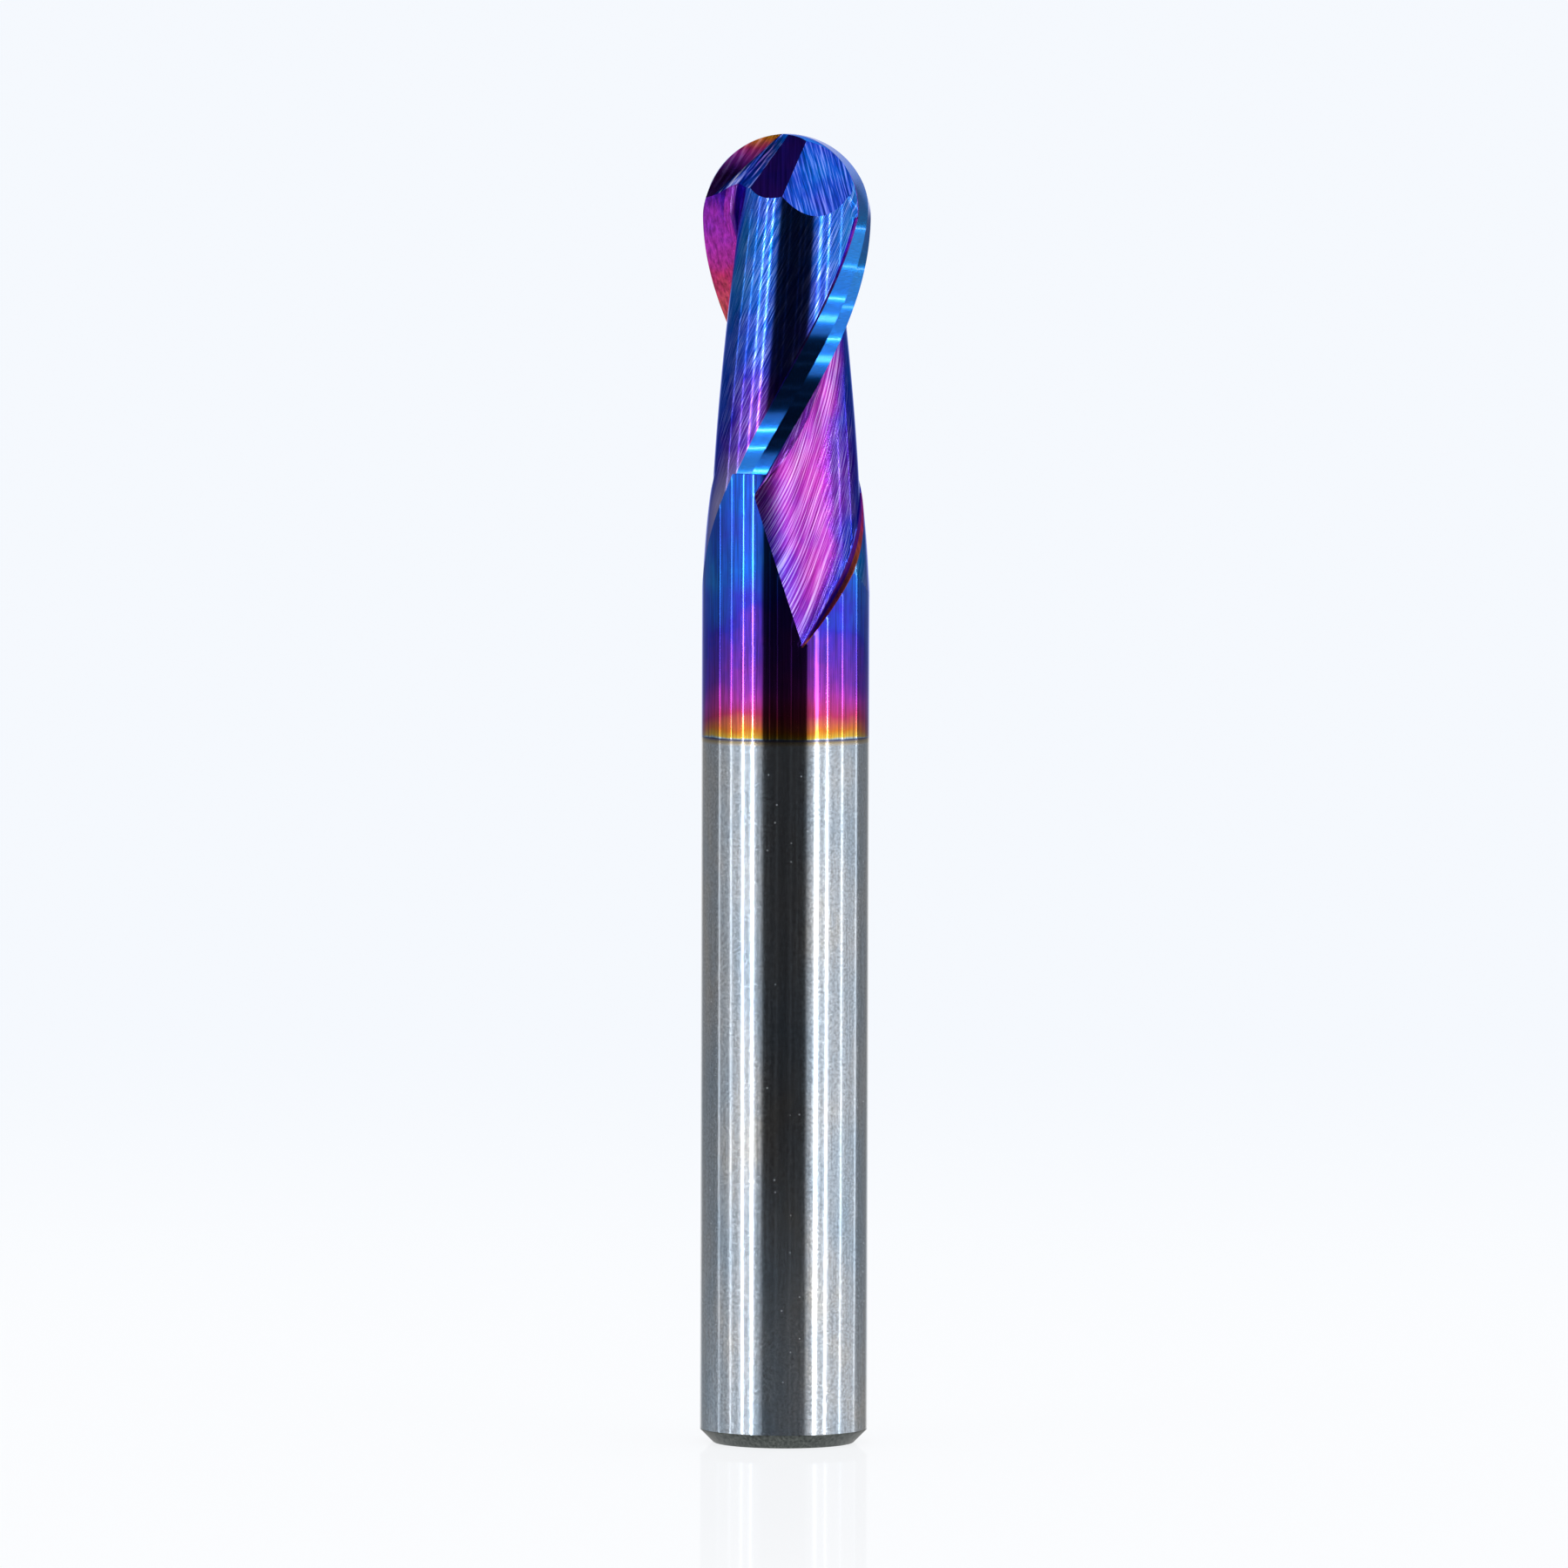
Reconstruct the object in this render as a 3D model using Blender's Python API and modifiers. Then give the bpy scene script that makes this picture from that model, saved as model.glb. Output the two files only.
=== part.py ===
# Two-flute ball-nose end mill with a right-hand helix, standing on its shank end.
# Metres, +Z up along the tool's axis, origin in the middle of the shank's end face.
import math

import bmesh
import bpy
from mathutils import Matrix, Vector

MM = 0.001

# Blank: a rod with a ball end; the lengths follow one another from the ball's tip downwards
TOOL_DIAMETER = 8.0 * MM
OVERALL_LENGTH = 62.5 * MM
CUT_LENGTH = 16.1 * MM          # tip to the end of the clearance lands
RUNOUT_LENGTH = 8.2 * MM        # from there to the point where the flutes leave the rod
NECK_LENGTH = 4.4 * MM          # plain coated rod below the flutes
SHANK_CHAMFER = 0.65 * MM

# Teeth
TEETH = 2
HELIX_ANGLE = math.radians(30.5)
EDGE_START = math.radians(-1.8)     # direction of the first cutting edge at the ball's centre
RAKE_ANGLE = math.radians(8.0)
ROOT_FILLET = 0.80 * MM
BALL_FILLET = 1.50 * MM             # the same where the gash meets the flute
FILLET_BLEND = 1.0 * MM             # how far from the ball's centre one gives way to the other
FILLET_SHARE = 0.6                  # largest share of the rake face that the fillet takes
PRIMARY_LAND = 0.77 * MM
SECONDARY_LAND = 0.98 * MM
PRIMARY_CLEARANCE = math.radians(5.0)
SECONDARY_CLEARANCE = math.radians(8.5)
HEEL_STEP = 0.12 * MM               # height of the wall behind the lands
BALL_RELIEF = 0.25                  # share of the lands' clearance that is left on the ball
BALL_TWIST = 1.6 * MM               # height over which the helix goes on above the ball's centre
HEEL_JOIN = 1.2                     # width of the slope behind the ball's heel, in leads of that heel

# Flutes: a tooth's back sinks from its heel to the core
CORE_DIAMETER = 4.0 * MM
BACK_CURVE = 1.75                   # how much of the sinking is left to the root's side
FLOOR_SKIN = 0.35 * MM              # what a tooth carries between the web and the flute's floor
FLOOR_ON_BALL = 0.98                # largest share of the ball's section that the floor reaches

# Run-out: a flute's floor climbs to the rod, and a wall closes it on the heel's side
RAKE_RUNOUT = 1.0 * MM              # land end to where the rake face is worn away
HEEL_RUNOUT = 6.1 * MM              # land end to where the heel's step is worn away
BACK_RUNOUT = 4.7 * MM              # land end to where the back beside the wall reaches the rod
BACK_REACH = math.radians(70.0)     # that place, behind the cutting edge
RUNOUT_SLOPE = math.radians(20.0)
RUNOUT_BLEND = 0.6 * MM             # rounding between the back and the climbing floor
WALL_START = math.radians(57.0)     # the wall behind the cutting edge, at the land end
WALL_END = math.radians(85.0)       # and at the flute's last point
WALL_ROUND = math.radians(1.5)
WALL_REACH = 1.8                    # wall width that is meshed finely, in those roundings

# Ball end: each tooth has a gash for its rake face and a flat behind its land
NOSE_SEAM = 0.5 * MM                # where the ball end meets the teeth, below the ball's centre
# Lines of the gash, from a high point to a low one: across, towards -Y and up, in ball radii
GASH_VALLEY = ((-0.050, 0.0245, 0.9886), (-0.660, 0.0794, 0.356))
GASH_BRINK = ((0.0155, 0.131, 0.9886), (-0.441, 0.508, 0.356))
GASH_RAKE = (-1.0, 0.09)            # level direction of the rake face, out of the valley
GASH_SLOPE = (1.0, 0.523)           # level direction of the slope behind the brink
GASH_ROUND = 0.25                   # share of the wall that the rounded valley takes
GASH_LEVELS = (-0.4, 1.1)           # lower and upper end of the cutter
FLAT_OFFSET = 3.10 * MM             # heel flat from the ball's centre
FLAT_TILT = math.radians(29.8)
FLAT_TURN = math.radians(18.0)

# Clearance between neighbouring regions of the rod
SEAM = 0.05 * MM

# Mesh fineness, in points or rings
ROUND_STEPS = 64
LAND_POINTS = 2                     # on each land
BACK_POINTS = 5
WALL_POINTS = 5
FLOOR_POINTS = 9
FILLET_POINTS = 4
RAKE_POINTS = 4
CORE_POINTS = 18
TOOTH_RINGS = 16
RUNOUT_RINGS = 15
BALL_RINGS = 12
SMALLEST_STEP = 0.02 * MM           # least height of a rake face or a wall
SMALLEST_ANGLE = math.radians(1.0)  # least width of a strip

RADIUS = TOOL_DIAMETER / 2
BALL_CENTRE = OVERALL_LENGTH - RADIUS
PITCH = 2 * math.pi / TEETH
LAND_END = CUT_LENGTH - RADIUS      # depths below the ball's centre
RAKE_END = LAND_END + RAKE_RUNOUT
HEEL_END = LAND_END + HEEL_RUNOUT
BACK_END = LAND_END + BACK_RUNOUT
FLUTE_END = LAND_END + RUNOUT_LENGTH
COAT_END = FLUTE_END + NECK_LENGTH
PRIMARY_DROP = PRIMARY_LAND * math.tan(PRIMARY_CLEARANCE)
HEEL_DROP = PRIMARY_DROP + SECONDARY_LAND * math.tan(SECONDARY_CLEARANCE)
PRIMARY_END = PRIMARY_LAND / RADIUS
HEEL_ANGLE = (PRIMARY_LAND + SECONDARY_LAND) / RADIUS
CORE_RADIUS = CORE_DIAMETER / 2
WEB_RADIUS = CORE_RADIUS - FLOOR_SKIN


def mix(low, high, share):
    return low + (high - low) * share


def ramp(value, start, end):
    return min(max((value - start) / (end - start), 0.0), 1.0)


def spread(start, end, count):
    return [mix(start, end, i / count) for i in range(count + 1)]


def edge_direction(depth):
    # A cutting edge runs along the helix, which stops in the gash and below the flutes
    return EDGE_START - math.tan(HELIX_ANGLE) / RADIUS * min(max(depth, -BALL_TWIST), FLUTE_END)


def heel_angle(depth):
    # On the ball the heel stays over its place at the ball's centre
    return HEEL_ANGLE + max(edge_direction(depth) - EDGE_START, 0.0)


def relief_share(depth):
    return rod_radius(depth) / RADIUS * mix(1.0, BALL_RELIEF, ramp(-depth, 0.0, BALL_TWIST))


def rod_radius(depth):
    if depth >= 0:
        return RADIUS
    return math.sqrt(max(RADIUS ** 2 - depth ** 2, 0.0))


def wall_angle(depth):
    return mix(WALL_START, WALL_END, ramp(depth, LAND_END, FLUTE_END))


def floor_radius(angle, depth):
    # Below the lands a tooth's back rises to the rod as far as the wall, and past the wall the
    # flute's floor climbs out
    back = mix(RADIUS - HEEL_DROP - HEEL_STEP, CORE_RADIUS, ramp(angle, HEEL_ANGLE, PITCH) ** BACK_CURVE)
    back_end = mix(HEEL_END, BACK_END, ramp(angle, HEEL_ANGLE, BACK_REACH))
    raised = mix(back, RADIUS, ramp(depth, LAND_END, back_end))
    edge = mix(RAKE_END, FLUTE_END, (PITCH - angle) / (PITCH - WALL_END))
    climb = RADIUS - math.tan(RUNOUT_SLOPE) * (edge - depth)
    overlap = max(RUNOUT_BLEND - abs(climb - back), 0.0)
    floor = min(max(back, climb) + overlap ** 2 / (4 * RUNOUT_BLEND), RADIUS)
    past = max(angle - wall_angle(depth), 0.0) / WALL_ROUND
    radius = mix(floor, max(raised, floor), math.exp(-past ** 1.5))
    return min(radius, FLOOR_ON_BALL * rod_radius(depth)) if depth < 0 else radius


def rake_angle_at(radius, depth):
    return PITCH + (rod_radius(depth) - radius) * math.tan(RAKE_ANGLE) / radius


def tooth_outline(depth, relieved):
    # One tooth's share of the section, as angle behind its cutting edge and radius
    rod = rod_radius(depth)
    share = relief_share(depth) if relieved else 0.0
    primary = rod - PRIMARY_DROP * share
    heel = rod - HEEL_DROP * share
    heel_end = heel_angle(depth)
    points = [(mix(0, PRIMARY_END, i / LAND_POINTS), mix(rod, primary, i / LAND_POINTS))
              for i in range(LAND_POINTS)]
    points += [(mix(PRIMARY_END, heel_end, i / LAND_POINTS), mix(primary, heel, i / LAND_POINTS))
               for i in range(LAND_POINTS + 1)]

    # The wall behind the heel, which is a slope on the ball
    foot_angle = heel_end + SMALLEST_ANGLE / 2
    slope = HEEL_JOIN * (heel_end - HEEL_ANGLE) + SMALLEST_ANGLE / 2
    step = min(SMALLEST_STEP, heel / 10)

    def back_radius(angle):
        radius = min(floor_radius(angle, depth), heel)
        return radius if depth >= 0 else mix(heel - step, radius, ramp(angle, foot_angle, foot_angle + slope))
    wall = wall_angle(depth)
    past_wall = wall + WALL_REACH * WALL_ROUND
    points += [(angle, back_radius(angle)) for angle in spread(foot_angle, wall, BACK_POINTS)]
    points += [(angle, back_radius(angle)) for angle in spread(wall, past_wall, WALL_POINTS)[1:]]

    if depth < RAKE_END:
        root = min(floor_radius(PITCH, depth), rod - SMALLEST_STEP * rod / RADIUS)
        fillet = mix(ROOT_FILLET, BALL_FILLET, ramp(-depth, -FILLET_BLEND, FILLET_BLEND))
        fillet = min(fillet, FILLET_SHARE * (rod - root))
        corner = rake_angle_at(root, depth)
        start = PITCH - fillet / root
        top = root + fillet
        rise = [(start * (1 - t) ** 2 + 2 * corner * t * (1 - t) + rake_angle_at(top, depth) * t ** 2,
                 floor_radius(start, depth) * (1 - t) ** 2 + 2 * root * t * (1 - t) + top * t ** 2)
                for t in (i / FILLET_POINTS for i in range(1, FILLET_POINTS + 1))]
        rise += [(rake_angle_at(radius, depth), radius)
                 for radius in (mix(top, rod, i / RAKE_POINTS) for i in range(1, RAKE_POINTS))]
    else:
        start = mix(PITCH, WALL_END, ramp(depth, RAKE_END, FLUTE_END))
        start = max(min(start, PITCH - SMALLEST_ANGLE), past_wall + SMALLEST_ANGLE)
        count = FILLET_POINTS + RAKE_POINTS
        rise = [(mix(start, PITCH, i / count), rod) for i in range(1, count)]

    points += [(angle, back_radius(angle)) for angle in spread(past_wall, start, FLOOR_POINTS)[1:]]
    return points, rise


def section_point(angle, radius, depth):
    direction = edge_direction(depth) - angle
    return Vector((radius * math.cos(direction), radius * math.sin(direction), BALL_CENTRE - depth))


def whole_section(depth, relieved):
    points, rise = tooth_outline(depth, relieved)
    return [section_point(angle + tooth * PITCH, radius, depth)
            for tooth in range(TEETH) for angle, radius in points + rise]


def tooth_section(depth):
    # From the tooth's own root over its lands and back to the next root, and home along the web
    points, rise = tooth_outline(depth, True)
    tail_angle, tail_radius = points[-1]
    seam_angle = SEAM / tail_radius
    own_root = [(angle - PITCH, radius) for angle, radius in [points[-1]] + rise]
    tail = [(tail_angle - seam_angle, tail_radius)]
    seat = WEB_RADIUS + SEAM
    inner = [(mix(tail[0][0], own_root[0][0], i / CORE_POINTS), seat) for i in range(CORE_POINTS + 1)]
    return [section_point(angle, radius, depth) for angle, radius in own_root + points[:-1] + tail + inner]


def new_object(name, mesh, collection):
    obj = bpy.data.objects.new(name, mesh)
    collection.objects.link(obj)
    return obj


def shade_round(mesh):
    mesh.shade_smooth()
    mesh.set_sharp_from_angle(angle=math.radians(25.0))


def skin(rings, apex=None):
    # Faces between unlike sections, closed at the ends by a flat face or by one point
    bm = bmesh.new()
    loops = [[bm.verts.new(point) for point in ring] for ring in rings]
    for lower, upper in zip(loops, loops[1:]):
        for i, vert in enumerate(lower):
            bm.faces.new((vert, lower[i - 1], upper[i - 1], upper[i]))
    bm.faces.new(loops[0])
    if apex is None:
        bm.faces.new(loops[-1])
    else:
        tip = bm.verts.new(apex)
        for i, vert in enumerate(loops[-1]):
            bm.faces.new((vert, loops[-1][i - 1], tip))
    bmesh.ops.recalc_face_normals(bm, faces=bm.faces)
    return bm


def loft(name, rings, collection, apex=None):
    bm = skin(rings, apex)
    mesh = bpy.data.meshes.new(name)
    bm.to_mesh(mesh)
    bm.free()
    shade_round(mesh)
    return new_object(name, mesh, collection)


def turned(name, profile, collection):
    # A profile of radius and height, top to bottom, turned about the tool's axis
    mesh = bpy.data.meshes.new(name)
    mesh.from_pydata([(radius, 0, z) for radius, z in profile],
                     [(i, i + 1) for i in range(len(profile) - 1)], [])
    obj = new_object(name, mesh, collection)
    screw = obj.modifiers.new("turn", "SCREW")
    screw.axis = "Z"
    screw.angle = 2 * math.pi
    screw.steps = ROUND_STEPS
    screw.render_steps = ROUND_STEPS
    screw.use_merge_vertices = True
    screw.merge_threshold = 0.000001
    screw.use_smooth_shade = False
    return obj


def material(name, colour, roughness):
    metal = bpy.data.materials.new(name)
    metal.use_nodes = True
    shader = metal.node_tree.nodes["Principled BSDF"]
    shader.inputs["Base Color"].default_value = (*colour, 1.0)
    shader.inputs["Roughness"].default_value = roughness
    shader.inputs["Metallic"].default_value = 1.0
    metal.diffuse_color = (*colour, 1.0)
    return metal


def finish(obj, metal, parent):
    obj.data.materials.append(metal)
    obj.parent = parent


def make_cutter(name, bm, collection):
    mesh = bpy.data.meshes.new(name)
    bm.to_mesh(mesh)
    bm.free()
    obj = new_object(name, mesh, collection)
    obj.hide_render = True
    obj.display_type = "WIRE"
    return obj


def gash_section(level):
    # Level section of the gash: rake face, rounded valley, wall up to the brink, slope, open front
    def on_line(ends):
        high, low = (Vector(end) for end in ends)
        return high.lerp(low, (high.z - level) / (high.z - low.z)).to_2d()
    valley, brink = on_line(GASH_VALLEY), on_line(GASH_BRINK)
    rake, slope = Vector(GASH_RAKE), Vector(GASH_SLOPE)
    wall = brink - valley
    reach = 3.0
    first = valley + rake.normalized() * wall.length * GASH_ROUND
    last = valley + wall * GASH_ROUND
    bend = [first * (1 - t) ** 2 + valley * 2 * t * (1 - t) + last * t ** 2
            for t in spread(0.0, 1.0, FILLET_POINTS)]
    rake_end, slope_end = valley + rake * reach, brink + slope * reach
    front = [Vector((slope_end.x, 2 * reach)), Vector((rake_end.x, 2 * reach))]
    return [Vector((point.x * RADIUS, -point.y * RADIUS, BALL_CENTRE + level * RADIUS))
            for point in (rake_end, *bend, brink, slope_end, *front)]


def gash_cutter(collection):
    # For the rake face of the tooth on the -X side
    return make_cutter("gash_cutter", skin([gash_section(level) for level in GASH_LEVELS]), collection)


def flat_cutter(collection):
    # A block whose back face is the heel flat of the tooth on the +X side
    size = 4 * RADIUS
    place = (Matrix.Translation((0, 0, BALL_CENTRE)) @ Matrix.Rotation(FLAT_TURN, 4, "Z")
             @ Matrix.Rotation(-FLAT_TILT, 4, "X") @ Matrix.Translation((0, -FLAT_OFFSET - size / 2, 0)))
    bm = bmesh.new()
    bmesh.ops.create_cube(bm, size=size, matrix=place)
    return make_cutter("flat_cutter", bm, collection)


def cut(obj, cutter):
    boolean = obj.modifiers.new(cutter.name, "BOOLEAN")
    boolean.operation = "DIFFERENCE"
    boolean.solver = "EXACT"
    boolean.object = cutter


def make_shank(parts):
    top = BALL_CENTRE - COAT_END - SEAM
    return turned("shank", [(0, top), (RADIUS, top), (RADIUS, SHANK_CHAMFER),
                            (RADIUS - SHANK_CHAMFER, 0), (0, 0)], parts)


def make_neck(parts):
    depths = [COAT_END] + spread(FLUTE_END, LAND_END, RUNOUT_RINGS)
    return loft("neck", [whole_section(depth, False) for depth in depths], parts)


def make_web(parts):
    top, bottom = BALL_CENTRE - NOSE_SEAM - SEAM, BALL_CENTRE - LAND_END + SEAM
    return turned("web", [(0, top), (WEB_RADIUS, top), (WEB_RADIUS, bottom), (0, bottom)], parts)


def make_teeth(parts):
    depths = spread(LAND_END - SEAM, NOSE_SEAM + SEAM, TOOTH_RINGS)
    first = loft("tooth_1", [tooth_section(depth) for depth in depths], parts)
    teeth = [first]
    for number in range(1, TEETH):
        tooth = new_object(f"tooth_{number + 1}", first.data.copy(), parts)
        tooth.rotation_euler.z = -PITCH * number
        teeth.append(tooth)
    return teeth


def make_ball_nose(parts, cutters):
    latitudes = spread(0, math.pi / 2, BALL_RINGS)[:-1]
    depths = [NOSE_SEAM] + [-RADIUS * math.sin(latitude) for latitude in latitudes]
    nose = loft("ball_nose", [whole_section(depth, True) for depth in depths], parts,
                apex=(0, 0, OVERALL_LENGTH))
    for first in (flat_cutter(cutters), gash_cutter(cutters)):
        cut(nose, first)
        for number in range(1, TEETH):
            other = first.copy()
            other.rotation_euler.z = PITCH * number
            cutters.objects.link(other)
            cut(nose, other)
    return nose


def main():
    for obj in list(bpy.data.objects):
        bpy.data.objects.remove(obj, do_unlink=True)
    parts = bpy.data.collections.new("end_mill")
    cutters = bpy.data.collections.new("end_mill_cutters")
    for collection in (parts, cutters):
        bpy.context.scene.collection.children.link(collection)
    tool = bpy.data.objects.new("end_mill", None)
    parts.objects.link(tool)

    finish(make_shank(parts), material("ground_carbide", (0.52, 0.55, 0.58), 0.22), tool)
    finish(make_neck(parts), material("neck_coating", (0.10, 0.08, 0.62), 0.20), tool)
    finish(make_web(parts), material("web_coating", (0.05, 0.16, 0.66), 0.30), tool)
    for number, tooth in enumerate(make_teeth(parts), start=1):
        finish(tooth, material(f"tooth_{number}_coating", (0.08, 0.20, 0.72), 0.24), tool)
    finish(make_ball_nose(parts, cutters), material("ball_nose_coating", (0.07, 0.12, 0.60), 0.24), tool)


main()
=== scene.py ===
import math

import bpy
from mathutils import Matrix, Vector


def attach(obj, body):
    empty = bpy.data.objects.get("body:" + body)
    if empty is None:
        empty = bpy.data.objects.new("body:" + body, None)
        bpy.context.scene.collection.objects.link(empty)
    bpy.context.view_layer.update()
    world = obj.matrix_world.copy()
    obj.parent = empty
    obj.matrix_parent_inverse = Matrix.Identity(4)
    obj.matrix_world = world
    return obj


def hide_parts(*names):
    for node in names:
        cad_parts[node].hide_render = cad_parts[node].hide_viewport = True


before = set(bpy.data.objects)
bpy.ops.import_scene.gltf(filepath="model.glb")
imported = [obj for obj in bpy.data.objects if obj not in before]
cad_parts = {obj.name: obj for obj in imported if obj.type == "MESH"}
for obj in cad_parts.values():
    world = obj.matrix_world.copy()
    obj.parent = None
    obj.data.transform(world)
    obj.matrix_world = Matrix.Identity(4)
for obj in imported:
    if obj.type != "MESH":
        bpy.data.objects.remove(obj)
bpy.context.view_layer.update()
mm = 0.001
print("frame loaded:", ", ".join(sorted(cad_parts)))


# small helpers for modelling by hand

def startPiece():
    if bpy.context.object and bpy.context.object.mode != "OBJECT":
        bpy.ops.object.mode_set(mode="OBJECT")
    bpy.ops.object.select_all(action="DESELECT")


def pickOnly(piece):
    startPiece()
    piece.select_set(True)
    bpy.context.view_layer.objects.active = piece


def pickEdges(piece, wanted):
    # edit mode with only the edges selected whose ends' heights pass the test
    bpy.ops.object.mode_set(mode="EDIT")
    bpy.ops.mesh.select_mode(type="EDGE")
    bpy.ops.mesh.select_all(action="DESELECT")
    bpy.ops.object.mode_set(mode="OBJECT")
    for edge in piece.data.edges:
        edge.select = wanted([piece.data.vertices[v].co.z for v in edge.vertices])
    bpy.ops.object.mode_set(mode="EDIT")


def nameAndPlace(name):
    piece = bpy.context.object
    piece.name = name
    piece.data.name = name
    bpy.ops.object.transform_apply(location=True, rotation=True, scale=True)
    return piece


def between(low, high, share):
    return low + (high - low) * share


def ramp(value, start, end):
    return min(max((value - start) / (end - start), 0.0), 1.0)


# node helpers: an input takes a plain value or the output of another node

def feed(tree, socket, value):
    if isinstance(value, bpy.types.NodeSocket):
        tree.links.new(value, socket)
    else:
        socket.default_value = value


def addNode(tree, kind, inputs=None, **settings):
    made = tree.nodes.new("ShaderNode" + kind)
    for key, value in settings.items():
        setattr(made, key, value)
    for key, value in (inputs or {}).items():
        feed(tree, made.inputs[key], value)
    return made


def calc(tree, operation, *values, clamp=False):
    return addNode(tree, "Math", dict(enumerate(values)), operation=operation, use_clamp=clamp).outputs[0]


def mapped(tree, value, start, end, smooth=False):
    # start and end each pair a value with what it becomes
    inputs = {"Value": value, "From Min": start[0], "From Max": end[0], "To Min": start[1], "To Max": end[1]}
    kind = "SMOOTHSTEP" if smooth else "LINEAR"
    return addNode(tree, "MapRange", inputs, interpolation_type=kind).outputs[0]


def colourRamp(tree, factor, stops):
    made = addNode(tree, "ValToRGB", {"Fac": factor})
    points = made.color_ramp.elements
    while len(points) < len(stops):
        points.new(0.5)
    for point, (place, colour) in zip(points, stops):
        point.position = place
        point.color = (*colour, 1.0)
    return made.outputs["Color"]


def blendColour(tree, factor, first, second, mode="MIX"):
    made = addNode(tree, "Mix", {0: factor}, data_type="RGBA", blend_type=mode)
    for index, colour in ((6, first), (7, second)):
        linked = isinstance(colour, bpy.types.NodeSocket)
        feed(tree, made.inputs[index], colour if linked else (*colour, 1.0))
    return made.outputs[2]


def tint(tree, tone, light):
    grey = addNode(tree, "CombineColor", {0: light, 1: light, 2: light}).outputs[0]
    return blendColour(tree, 1.0, tone, grey, "MULTIPLY")


def stretch(tree, vector, scale, turn=0.0):
    inputs = {"Vector": vector, "Rotation": (0, 0, turn), "Scale": scale}
    return addNode(tree, "Mapping", inputs).outputs[0]


def noise(tree, vector, scale, detail, roughness):
    inputs = {"Vector": vector, "Scale": scale, "Detail": detail, "Roughness": roughness}
    return addNode(tree, "TexNoise", inputs).outputs["Fac"]


def newGroup(name, inputs, outputs):
    tree = bpy.data.node_groups.new(name, "ShaderNodeTree")
    for socketName, kind, value in inputs:
        socket = tree.interface.new_socket(socketName, in_out="INPUT", socket_type="NodeSocket" + kind)
        if value is not None:
            socket.default_value = value
    for socketName, kind in outputs:
        tree.interface.new_socket(socketName, in_out="OUTPUT", socket_type="NodeSocket" + kind)
    return tree, tree.nodes.new("NodeGroupInput").outputs, tree.nodes.new("NodeGroupOutput").inputs


def useGroup(tree, group, inputs):
    made = tree.nodes.new("ShaderNodeGroup")
    made.node_tree = group
    for key, value in inputs.items():
        feed(tree, made.inputs[key], value)
    return made.outputs


def objectCoords(tree):
    return addNode(tree, "TexCoord").outputs["Object"]


def heightAbove(tree, place, level):
    return calc(tree, "SUBTRACT", addNode(tree, "SeparateXYZ", {0: place}).outputs[2], level)


# camera, at the photograph's height and distance

view = {"place": (-0.178 * mm, -740 * mm, 74 * mm), "down": 3.287, "roll": -0.16,
        "lens": 356.7, "sensor": 36.0, "nearest": 10 * mm}

startPiece()
aim = (math.radians(90 - view["down"]), math.radians(view["roll"]), 0)
bpy.ops.object.camera_add(location=view["place"], rotation=aim)
camera = bpy.context.object
camera.data.lens = view["lens"]
camera.data.sensor_width = view["sensor"]
camera.data.clip_start = view["nearest"]
bpy.context.scene.camera = camera
bpy.context.scene.view_settings.view_transform = "Standard"
print("camera placed")


# shared effects

film = {
    # colour of the coating by its thickness, bare metal first
    "stops": [(0.00, (0.50, 0.52, 0.55)), (0.06, (0.44, 0.36, 0.22)), (0.12, (0.02, 0.05, 0.22)),
              (0.17, (0.45, 0.66, 0.76)), (0.23, (0.85, 0.55, 0.05)), (0.33, (0.80, 0.22, 0.02)),
              (0.46, (0.60, 0.04, 0.16)), (0.58, (0.50, 0.04, 0.50)), (0.68, (0.20, 0.03, 0.56)),
              (0.78, (0.035, 0.03, 0.70)), (0.88, (0.006, 0.125, 0.82)), (1.00, (0.015, 0.32, 0.94))],
    "edge": (0.35, 0.42, 0.85),      # at a grazing view
    "glint": (0.74, 0.76, 0.95), "glintFrom": 0.52, "glintTo": 0.68,
    "lineFrom": 0.35, "lineTo": 0.65, "slant": 0.15, "patches": 420.0,
}
speckChance = 0.28      # share of the cells that hold a speck


def makeFilmGroup():
    inputs = [("Thickness", "Float", 0.9), ("Mottle", "Float", 0.05), ("Vector", "Vector", None)]
    tree, given, result = newGroup("filmColour", inputs, [("Color", "Color")])
    patches = noise(tree, given["Vector"], film["patches"], 3.0, 0.6)
    shift = calc(tree, "MULTIPLY", calc(tree, "SUBTRACT", patches, 0.5), given["Mottle"])
    thickness = calc(tree, "ADD", given["Thickness"], shift, clamp=True)
    feed(tree, result["Color"], colourRamp(tree, thickness, film["stops"]))
    return tree


def makeGrindGroup():
    # lines left by a grinding wheel, along the vector's second axis
    inputs = [("Vector", "Vector", None), ("Across", "Float", 300.0), ("Along", "Float", 12.0)]
    tree, given, result = newGroup("grindLines", inputs, [("Lines", "Float")])
    scale = addNode(tree, "CombineXYZ", {0: given["Across"], 1: given["Along"], 2: given["Across"]})
    place = addNode(tree, "VectorMath", {0: given["Vector"], 1: scale.outputs[0]}, operation="MULTIPLY")
    feed(tree, result["Lines"], noise(tree, place.outputs[0], 1.0, 3.0, 0.65))
    return tree


def makeSpeckGroup():
    # small nicks
    inputs = [("Vector", "Vector", None), ("Scale", "Float", 1400.0), ("Size", "Float", 0.1)]
    tree, given, result = newGroup("specks", inputs, [("Mask", "Float")])
    cells = addNode(tree, "TexVoronoi", {"Vector": given["Vector"], "Scale": given["Scale"]}, feature="F1")
    near = calc(tree, "LESS_THAN", cells.outputs["Distance"], given["Size"])
    draw = addNode(tree, "SeparateColor", {0: cells.outputs["Color"]}).outputs[0]
    chosen = calc(tree, "GREATER_THAN", draw, 1.0 - speckChance)
    feed(tree, result["Mask"], calc(tree, "MULTIPLY", near, chosen))
    return tree


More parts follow.
